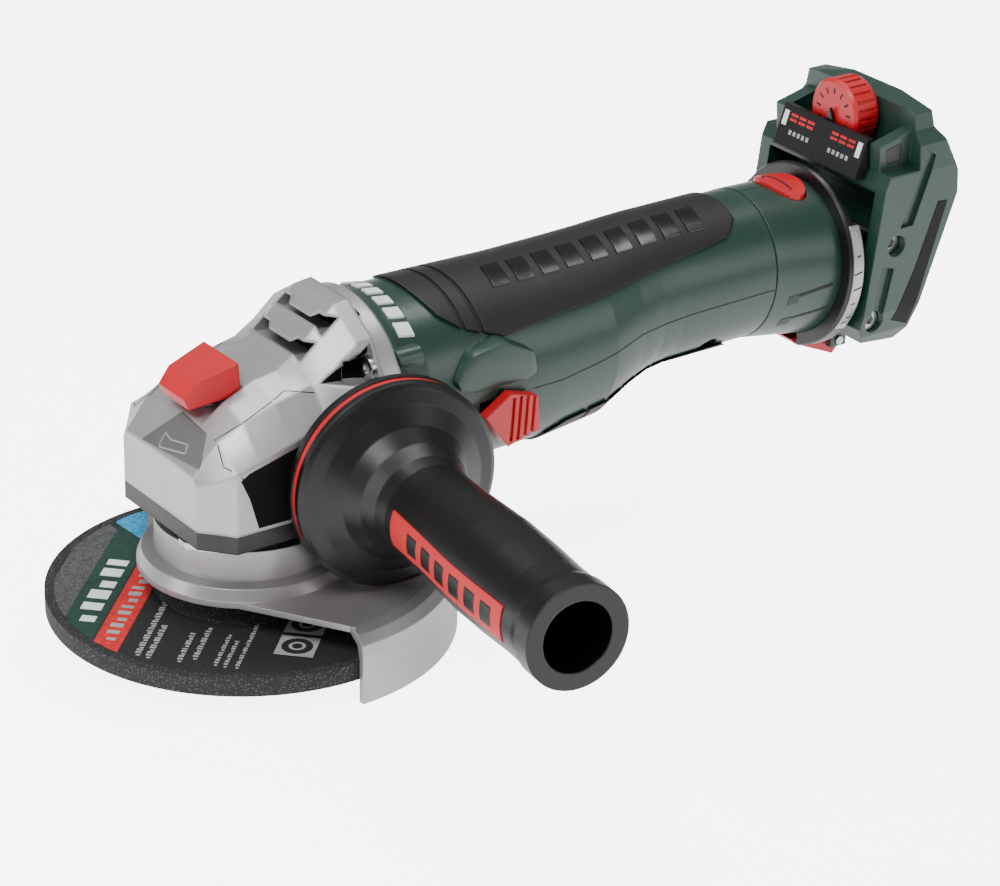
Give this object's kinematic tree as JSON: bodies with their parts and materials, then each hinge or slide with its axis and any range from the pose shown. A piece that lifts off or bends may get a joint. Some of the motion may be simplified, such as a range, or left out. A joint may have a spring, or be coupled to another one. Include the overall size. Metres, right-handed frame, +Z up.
{
  "type": "angle grinder",
  "caption": "Cordless angle grinder for 125 mm discs with guard, angled side handle, slide switch and a rotatable battery foot",
  "frame": {"origin": "on the spindle axis, 0.9 mm above the lower end of the spindle", "axes": "+Z up the spindle towards the gear head, +X from the spindle to the battery foot, -Y towards the side handle"},
  "size_m": [0.3205, 0.2207, 0.134],
  "materials": {
    "cast_silver": "bead blasted casting",
    "cover_dark": "dark coated casting",
    "steel": "turned",
    "guard_steel": "satin zinc plate",
    "iron": "stacked laminations",
    "copper": "copper",
    "abrasive": "resin bonded grit",
    "red_plastic": "coral red, satin",
    "red_rubber": "red elastomer",
    "black_rubber": "soft touch",
    "black_plastic": "fine texture",
    "green_plastic": "dark bluish green, satin"
  },
  "bodies": {
    "tool": {"gear_housing": "cast_silver", "bearing_cover": "cover_dark", "cover_screws": "steel", "head_screws": "steel", "spindle_ball_bearing": "steel", "spindle_needle_bearing": "steel", "lock_spring": "steel", "guard_ring": "steel", "guard_latch_pin": "steel", "handle_grip": "black_rubber", "handle_damper_ring": "red_rubber", "handle_back_plate": "black_plastic", "handle_stud": "steel", "handle_badge": "red_rubber", "upper_housing": "green_plastic", "lower_housing": "green_plastic", "housing_screws": "steel", "grip_pad_top": "black_rubber", "grip_pad_bottom": "black_rubber", "motor_stator": "iron", "motor_windings": "copper", "rotor_front_bearing": "steel", "rotor_rear_bearing": "steel", "motor_end_plate": "black_plastic", "fan_baffle": "black_plastic", "switch_module": "black_plastic", "control_module": "black_plastic", "swivel_ring": "black_plastic"},
    "disc_drive": {"spindle": "steel", "crown_gear": "steel", "backing_flange": "steel", "grinding_disc": "abrasive", "disc_bush": "steel", "clamp_nut": "steel"},
    "rotor": {"rotor_shaft": "steel", "rotor_core": "iron", "cooling_fan": "black_plastic", "pinion_gear": "steel"},
    "guard": {"wheel_guard": "guard_steel"},
    "latch_lever": {"guard_latch": "steel"},
    "spindle_lock": {"lock_button": "red_plastic", "lock_pin": "steel"},
    "slide": {"slide_switch": "red_plastic", "switch_rod": "black_plastic"},
    "tail": {"tail_shell_left": "green_plastic", "tail_shell_right": "green_plastic", "tail_screws": "steel", "swivel_spring": "steel", "filter_frame": "black_plastic", "filter_meshes": "guard_steel", "filter_rivets": "steel", "filter_latch_pin": "steel", "dial_potentiometer": "black_plastic", "dial_panel": "black_plastic", "battery_rails": "black_plastic", "terminal_block": "black_plastic", "terminal_blades": "copper"},
    "tail_button": {"swivel_button": "red_plastic"},
    "filter_lever": {"filter_latch": "red_plastic"},
    "dial": {"speed_dial": "red_plastic"}
  },
  "joints": [
    {"name": "rotor_spin", "type": "hinge", "parent": "tool", "child": "rotor", "pos_m": [0.068, 0, 0.068], "axis": [1, 0, 0], "continuous": true},
    {"name": "disc_spin", "type": "hinge", "parent": "tool", "child": "disc_drive", "pos_m": [0, 0, 0.02], "axis": [0, 0, 1], "continuous": true},
    {"name": "guard_rotate", "type": "hinge", "parent": "tool", "child": "guard", "pos_m": [0, 0, 0.03], "axis": [0, 0, 1], "range_deg": [-60, 60]},
    {"name": "guard_latch_swing", "type": "hinge", "parent": "tool", "child": "latch_lever", "pos_m": [-0.0272, -0.0127, 0.0386], "axis": [0, 0, 1], "range_deg": [-12, 0], "stiffness_Nm_per_rad": 0.02},
    {"name": "spindle_lock_press", "type": "slide", "parent": "tool", "child": "spindle_lock", "axis": [0, 0, -1], "range_m": [0, 0.0036], "stiffness_N_per_m": 1500, "springref_m": -0.001, "deforming": ["lock_spring"]},
    {"name": "switch_slide", "type": "slide", "parent": "tool", "child": "slide", "axis": [-1, 0, 0], "range_m": [0, 0.008]},
    {"name": "tail_swivel", "type": "hinge", "parent": "tool", "child": "tail", "pos_m": [0.1873, 0, 0.0769], "axis": [0.9958, 0, -0.0915], "range_deg": [-90, 90]},
    {"name": "swivel_button_press", "type": "slide", "parent": "tail", "child": "tail_button", "axis": [0, 0, -1], "range_m": [0, 0.002], "stiffness_N_per_m": 1500, "springref_m": -0.001, "deforming": ["swivel_spring"]},
    {"name": "filter_latch_swing", "type": "hinge", "parent": "tail", "child": "filter_lever", "pos_m": [0.2282, 0, 0.0436], "axis": [0, 1, 0], "range_deg": [-15, 0]},
    {"name": "speed_dial_turn", "type": "hinge", "parent": "tail", "child": "dial", "pos_m": [0.234, 0, 0.1215], "axis": [1, 0, 0], "range_deg": [-135, 135]}
  ],
  "couplings": [
    {"joint": "rotor_spin", "follows": "disc_spin", "ratio": 3.7}
  ]
}
